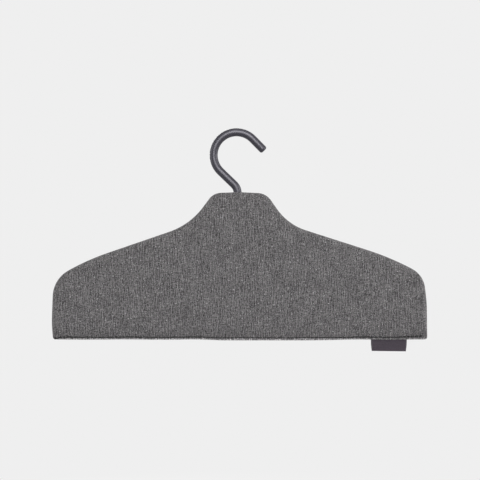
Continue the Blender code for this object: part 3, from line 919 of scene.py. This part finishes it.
# Grey melange plain weave, drawn yarn by yarn on the cloth's own flat place
def clothMaterial():
    made, tree, shader = startMaterial("greyMelange")
    node, do, blend, ranged, noise = [
        partial(helper, tree) for helper in (addNode, maths, blendColours, spread, noiseAt)]
    place = node("UVMap", uv_map="cloth").outputs[0]
    parts = node("SeparateXYZ", {0: place})
    drift = do("MULTIPLY", noise(place, *weave["drift"]), weave["driftSize"])
    fuzz = do("MULTIPLY", noise(place, *weave["fuzz"]), weave["fuzzSize"])
    u, v = [do("ADD", do("MULTIPLY_ADD", part, 1 / weave[pitch], drift), fuzz)
            for part, pitch in zip(parts.outputs, ("warpPitch", "weftPitch"))]
    warp, weft = do("FLOOR", u), do("FLOOR", v)

    def yarnNoise(along, yarn, run, step, detail):
        spot = do("MULTIPLY_ADD", yarn, step, do("DIVIDE", along, run))
        return node("TexNoise", {
            "W": spot, "Scale": 1.0, "Detail": detail, "Roughness": weave["yarnRoughness"]},
            noise_dimensions="1D").outputs["Fac"]

    def warpNoise(aside):
        return yarnNoise(v, do("ADD", warp, aside), weave["warpRun"], *weave["warpNoise"])

    def rounded(across):
        aside = do("SUBTRACT", do("FRACT", across), 0.5)
        share = do("MULTIPLY", aside, 2 / weave["yarnWidth"])
        return do("SQRT", do("MAXIMUM", 0.0, do("SUBTRACT", 1.0, do("MULTIPLY", share, share))))

    def waved(along, yarn):
        turn = do("SUBTRACT", do("ADD", along, yarn), 0.5)
        return do("COSINE", do("MULTIPLY", turn, math.pi))

    def stretched(width, height, *kind):
        scaled = node("Mapping", {
            "Vector": place, "Scale": (1 / width, 1 / height, 1)})
        return noise(scaled.outputs[0], *kind)

    # how light each yarn is along its run
    beside = do("SUBTRACT", 1.0, do("ADD", warpNoise(-1.0), warpNoise(1.0)))
    warpShade = do("MULTIPLY_ADD", beside, weave["unlike"], warpNoise(0.0))
    count, lighter = weave["warpOrder"]
    order = do("COSINE", do("MULTIPLY", warp, 2 * math.pi / count))
    warpShade = do("MULTIPLY_ADD", order, lighter, warpShade)
    crossing = node("TexWhiteNoise", {
        "Vector": node("CombineXYZ", {0: warp, 1: weft}).outputs[0]})
    jump = do("MULTIPLY", do("SUBTRACT", crossing.outputs["Value"], 0.5), weave["speckle"])
    warpShade = ranged(do("ADD", warpShade, jump), *weave["warpSpread"])
    weftShade = ranged(yarnNoise(u, weft, weave["weftRun"], *weave["weftNoise"]),
                       *weave["weftSpread"])

    # which yarn lies on top, and how high
    swing = weave["swing"]
    warpHeight = do("MULTIPLY_ADD", waved(v, warp), swing, do("MULTIPLY", rounded(u), 1 - swing))
    weftHeight = do("MULTIPLY_ADD", waved(u, weft), -swing, do("MULTIPLY", rounded(v), 1 - swing))
    weftOver = do("GREATER_THAN", weftHeight, warpHeight)
    height = do("MAXIMUM", warpHeight, weftHeight)
    warpTone = blend(warpShade, *weave["warpTones"])
    weftTone = blend(weftShade, *weave["weftTones"])
    tone = blend(do("MULTIPLY", weftOver, weave["weftShare"]), warpTone, weftTone)
    nep = ranged(noise(place, *weave["nepNoise"]), *weave["nepSpread"])
    tone = blend(nep, tone, weave["nep"])
    # painted shade: where the yarns dip low between each other they turn near black
    tone = blend(ranged(height, 0.0, weave["gapShadeHeight"]), weave["gap"], tone)

    # lighter and darker: clouds, fibres, slubs, and painted light along the hem's fold
    clouds = ranged(noise(place, *weave["clouds"]), *noiseReach, *weave["cloudLight"])
    thin, long = weave["fibre"]
    strands = blend(weftOver, stretched(thin, long, *weave["fibreNoise"]),
                    stretched(long, thin, *weave["fibreNoise"]))
    slubs = ranged(stretched(*weave["slub"], 1.0, 1.0), *weave["slubSpread"])
    lit = do("MULTIPLY", clouds, ranged(strands, *noiseReach, *weave["fibreLight"]))
    lit = do("MULTIPLY", lit, slubs)
    spot = node("SeparateXYZ", {0: objectPoint(tree)})
    # painted light: the hem's fold is lighter, less so where the tab is sewn in
    start, end, gain = weave["paintedFoldLight"]
    middle, half, fade, lessPaintedLight = weave["overTab"]
    aside = do("ABSOLUTE", do("SUBTRACT", spot.outputs[0], middle))
    gain = ranged(aside, half, half + fade, lessPaintedLight, gain)
    lit = do("MULTIPLY", lit, ranged(
        spot.outputs[2], sleeve["hem"] + start, sleeve["hem"] + end, 1.0, gain))
    shaded = node("VectorMath", {0: tone}, operation="SCALE")
    feed(tree, shaded.inputs["Scale"], lit)
    relief = do("MULTIPLY_ADD", strands, weave["fibreRelief"], height)
    endFinish(tree, shader, weave, shaded.outputs[0], relief)
    return made


melange = clothMaterial()
for word, side in sides.items():
    panel = makePanel(word + "_panel", side)
    coat(panel, melange)
    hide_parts(word + "_cover")
    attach(panel, "hanger")
    print(panel.name, len(panel.data.polygons), "faces before thickness")


# Edge stitches along the hem, in thick dark thread

# One stitch: a length of thread that arches out of the cloth and dives back at its ends
def makeStitch():
    half, width = stitching["length"] / 2, stitching["width"]
    arch = stitching["arch"] * width
    place, size = stitching["shape"][0]
    stitch = startDisc("stitch", stitching["sides"], width * size, (place * half, 0, 0),
                       -math.pi / 2)
    for share, thick in stitching["shape"][1:]:
        extrudeBy(((share - place) * half, (share ** 2 - place ** 2) * arch, 0))
        grow = thick / size
        bpy.ops.transform.resize(value=(1, grow, grow), center_override=(
            share * half, (share ** 2 - 1) * arch, 0))
        place, size = share, thick
    bpy.ops.mesh.select_all(action="SELECT")
    bpy.ops.mesh.normals_make_consistent(inside=False)
    editOff()
    return stitch


# Copies of the stitch along the hem, a little uneven, joined into one piece
def makeStitching(name, side, pattern):
    chance = np.random.default_rng(stitching["seeds"][side])
    first, last = stitching["reach"]
    count = int((last - first) / stitching["pitch"])
    inHeight, inTilt, inThickness = stitching["uneven"]
    thickTo, thinning = stitching["endReach"]
    step = stitching["tiltStep"]
    bm = bmesh.new()
    for k in range(count):
        x = first + (k + 0.5) * stitching["pitch"]
        z = sleeve["hem"] + stitchHeight(x) + chance.normal(0, inHeight)
        slope = (stitchHeight(x + step) - stitchHeight(x - step)) / (2 * step)
        z -= hemSag(x) * stitching["keptSag"][1]
        depth = sleeve["lip"] - stitching["groove"]
        tilt = Matrix.Rotation(-math.atan(slope) + chance.normal(0, inTilt), 4, "Y")
        flip = Matrix.Diagonal((1, -side, 1, 1))
        toEnd = min(x - first, last - x)
        full = 1 + stitching["endFullness"] * smooth(1 - (toEnd - thickTo) / thinning)
        grown = Matrix.Diagonal((1, full, full * (1 + chance.normal(0, inThickness)), 1))
        before = set(bm.verts)
        bm.from_mesh(pattern.data)
        fresh = [vert for vert in bm.verts if vert not in before]
        bmesh.ops.transform(bm, verts=fresh, matrix=Matrix.Translation(
            (x, side * depth, z)) @ tilt @ flip @ grown)
    bmesh.ops.recalc_face_normals(bm, faces=bm.faces)
    return smoothObject(name, bm)


threadLook = {
    "slant": 0.6,
    "plies": {"Scale": 480.0, "Distortion": 0.6, "Detail": 1.0},
    "worn": (500.0, 2.0),
    "tones": ((0.008, 0.008, 0.008), (0.070, 0.070, 0.070)),
    "relief": (0.08 * mm, 0.6),
    "sockets": {"Roughness": 0.7, "Specular IOR Level": 0.12},
}


# Near-black thread, with its plies as ridges
def threadMaterial():
    made, tree, shader = startMaterial("darkThread")
    point = objectPoint(tree)
    turned = addNode(tree, "Mapping", {
        "Vector": point, "Rotation": (0, threadLook["slant"], 0)})
    plies = addNode(tree, "TexWave", {
        "Vector": turned.outputs[0], **threadLook["plies"]})
    worn = spread(tree, noiseAt(tree, point, *threadLook["worn"]), *noiseReach)
    tone = blendColours(tree, worn, *threadLook["tones"])
    endFinish(tree, shader, threadLook, tone, plies.outputs["Fac"])
    return made


pattern = makeStitch()
thread = threadMaterial()
for word, side in sides.items():
    row = makeStitching(word + "_hem_stitches", side, pattern)
    coat(row, thread)
    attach(row, "hanger")
bpy.data.objects.remove(pattern)
print("hem stitched")


# Woven tab: a ribbon folded once, its two ends caught between the hems.

tab = {
    "middle": 177.6 * mm,
    "halfWidth": 21.1 * mm,
    "narrowing": 1.1 * mm,  # how much narrower each side is at the fold
    "inHem": 5.0 * mm,
    "drop": 13.6 * mm,  # how far the fold hangs under the hem
    "layer": 0.13 * mm,  # from the middle plane to a layer's middle, in the hem
    "parting": 6.0 * mm,  # how far under the hem its layers are fully apart
    "foldRadius": 0.36 * mm,
    "thickness": 0.20 * mm,
    "curl": 0.9 * mm,  # how far its edges curl back
    "curlSharpness": 5,
    "rightCurl": 0.7,  # of the left edge's
    "slant": 0.25 * mm,  # how much lower its right corner hangs than its middle
    "columns": 40,
    "layerSteps": 14,
    "foldSteps": 6,
}


# The ribbon's path in Y and Z, from the front layer's end round the fold to the back's
def tabPath():
    hem, radius = sleeve["hem"], tab["foldRadius"]
    front = []
    for k in range(tab["layerSteps"] + 1):
        share = k / tab["layerSteps"]
        z = hem + tab["inHem"] - (tab["inHem"] + tab["drop"] - radius) * share
        opened = smooth((hem - z) / tab["parting"])
        front.append((-(tab["layer"] + (radius - tab["layer"]) * opened), z))
    angles = [math.pi * k / tab["foldSteps"] for k in range(1, tab["foldSteps"])]
    turn = [(-radius * math.cos(angle), front[-1][1] - radius * math.sin(angle))
            for angle in angles]
    back = [(-y, z) for y, z in reversed(front)]
    return np.array(front + turn + back)


def makeTab():
    path = tabPath()
    along = runsAlong(path)
    y, z = path[:, :1], path[:, 1:]
    share = np.linspace(-1, 1, tab["columns"] + 1)
    hang = np.clip((sleeve["hem"] - z) / tab["drop"], 0, 1)
    across = (tab["halfWidth"] - tab["narrowing"] * hang ** 2) * share
    curl = tab["curl"] * hang * np.abs(share) ** tab["curlSharpness"] * np.where(
        share < 0, 1, tab["rightCurl"])
    grid = np.stack([tab["middle"] + across, y + curl, z - tab["slant"] * share * hang], axis=2)
    places = np.column_stack([across.ravel(), np.repeat(along, len(share))])
    ribbon = gridMesh("woven_tab", grid, places, closed=False)
    thicken(ribbon, tab["thickness"], 0)
    return ribbon, float(along[-1])


ribbonLook = {
    "cell": (0.22 * mm, 0.30 * mm),
    "pick": (0.4, 0.6),  # how deep the dips between the picks are, and the rest
    "tones": ((0.046, 0.037, 0.048), (0.088, 0.074, 0.091)),
    "selvedgeAndGlint": (1.6 * mm, 0.9 * mm),  # lighter edges, the selvedge and a painted highlight: in from the edge, where it starts and where it is full
    "selvedgeAndGlintTone": (0.110, 0.102, 0.116),
    "relief": (0.08 * mm, 0.6),
    "sockets": {"Roughness": 0.75, "Specular IOR Level": 0.12},
}


# Dark purple-grey satin ribbon: fine ribs across it, and closed edges painted lighter, both as
# the selvedge's tone and as painted highlight on their curl
def ribbonMaterial():
    made, tree, shader = startMaterial("darkRibbon")
    place = addNode(tree, "UVMap", uv_map="cloth")
    parts = addNode(tree, "SeparateXYZ", {0: place.outputs[0]})
    cells = [maths(tree, "DIVIDE", part, size)
             for part, size in zip(parts.outputs, ribbonLook["cell"])]
    column, row = [maths(tree, "FLOOR", cell) for cell in cells]
    speck = addNode(tree, "TexWhiteNoise", {
        "Vector": addNode(tree, "CombineXYZ", {0: column, 1: row}).outputs[0]})
    picks, ribs = [maths(tree, "SINE", maths(
        tree, "MULTIPLY", maths(tree, "FRACT", cell), math.pi)) for cell in cells]
    height = maths(tree, "MULTIPLY", ribs,
                   maths(tree, "MULTIPLY_ADD", picks, *ribbonLook["pick"]))
    side = maths(tree, "ABSOLUTE", parts.outputs[0])
    selvedgeAndGlint = spread(tree, side, *[tab["halfWidth"] - away for away in ribbonLook["selvedgeAndGlint"]])
    tone = blendColours(tree, speck.outputs["Value"], *ribbonLook["tones"])
    # lighter edges: the selvedge's tone together with a painted highlight on the curled edges
    tone = blendColours(tree, selvedgeAndGlint, tone, ribbonLook["selvedgeAndGlintTone"])
    endFinish(tree, shader, ribbonLook, tone, height)
    return made


ribbon, ribbonLength = makeTab()
coat(ribbon, ribbonMaterial())
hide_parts("label_tab")
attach(ribbon, "hanger")
print("tab: flat length %.1f mm" % (ribbonLength / mm))


# Inside the sleeve: pads, linings, and finishes for the pieces that keep their CAD shapes

feltLook = {
    "fibreLength": 0.25,  # the fibre noise's scale along the height
    "fibres": (1800.0, 5.0, 0.7),
    "clumps": (160.0, 3.0),
    "shares": (0.7, 0.3),  # of the fibres and the clumps
    "tones": ((0.46, 0.44, 0.39), (0.78, 0.76, 0.70)),
    "relief": (0.3 * mm, 0.8),
    "sockets": {"Roughness": 0.97, "Sheen Weight": 0.3},
}

silverLook = {
    "yarn": 0.5 * mm,
    "tones": ((0.40, 0.41, 0.43), (0.58, 0.59, 0.61)),
    "relief": (0.05 * mm, 0.5),
    "sockets": {"Metallic": 0.35, "Roughness": 0.58},
}


def feltMaterial():
    made, tree, shader = startMaterial("pressedFelt")
    point = objectPoint(tree)
    drawn = addNode(tree, "Mapping", {
        "Vector": point, "Scale": (1.0, 1.0, feltLook["fibreLength"])})
    noises = (noiseAt(tree, drawn.outputs[0], *feltLook["fibres"]),
              noiseAt(tree, point, *feltLook["clumps"]))
    parts = [maths(tree, "MULTIPLY", noise, share)
             for noise, share in zip(noises, feltLook["shares"])]
    tone = blendColours(tree, maths(tree, "ADD", *parts), *feltLook["tones"])
    endFinish(tree, shader, feltLook, tone, noises[0])
    return made


def liningMaterial():
    made, tree, shader = startMaterial("silverLining")
    parts = addNode(tree, "SeparateXYZ", {0: objectPoint(tree)})
    waves = [maths(tree, "SINE", maths(tree, "MULTIPLY", parts.outputs[i],
                                       math.pi / silverLook["yarn"])) for i in (0, 2)]
    woven = maths(tree, "MULTIPLY", *waves)
    tone = blendColours(tree, spread(tree, woven, -1, 1), *silverLook["tones"])
    endFinish(tree, shader, silverLook, tone, woven)
    return made


felt, silver = feltMaterial(), liningMaterial()
for word, side in sides.items():
    pad = makePad(word + "_felt", side)
    coat(pad, felt)
    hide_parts(word + "_pad")
    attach(pad, "hanger")
    lining = makeLining(word + "_heat_cloth", side)
    coat(lining, silver)
    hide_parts(word + "_lining")
    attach(lining, "hanger")


insides = {
    "zincPlate": {
        "nodes": ("hook_washer", "hook_nut"),
        "tones": ((0.50, 0.51, 0.53), (0.64, 0.64, 0.62)),
        "cloud": (700.0, 4.0, 0.6),
        "grain": (4000.0,),
        "roughness": ("cloud", 0.26, 0.42),
        "relief": (0.02 * mm, 0.3),
        "sockets": {"Metallic": 1.0},
    },
    "naturalNylon": {
        "nodes": ("neck_bush",),
        "tones": ((0.56, 0.56, 0.53), (0.64, 0.64, 0.62)),
        "cloud": (250.0, 3.0),
        "grain": (3000.0,),
        "relief": (0.02 * mm, 0.25),
        "sockets": {"Roughness": 0.42, "Subsurface Weight": 0.1},
    },
    "mouldedCore": {
        "nodes": ("core_panel",),
        "tones": ((0.085, 0.085, 0.087), (0.115, 0.115, 0.117)),
        "cloud": (30.0, 3.0),
        "grain": (2200.0, 3.0),
        "roughness": ("grain", 0.48, 0.62),
        "relief": (0.05 * mm, 0.4),
        "sockets": {},
    },
}
for name, look in insides.items():
    finish = plainFinish(name, look)
    for node in look["nodes"]:
        coat(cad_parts[node], finish)
print("inner pieces finished")
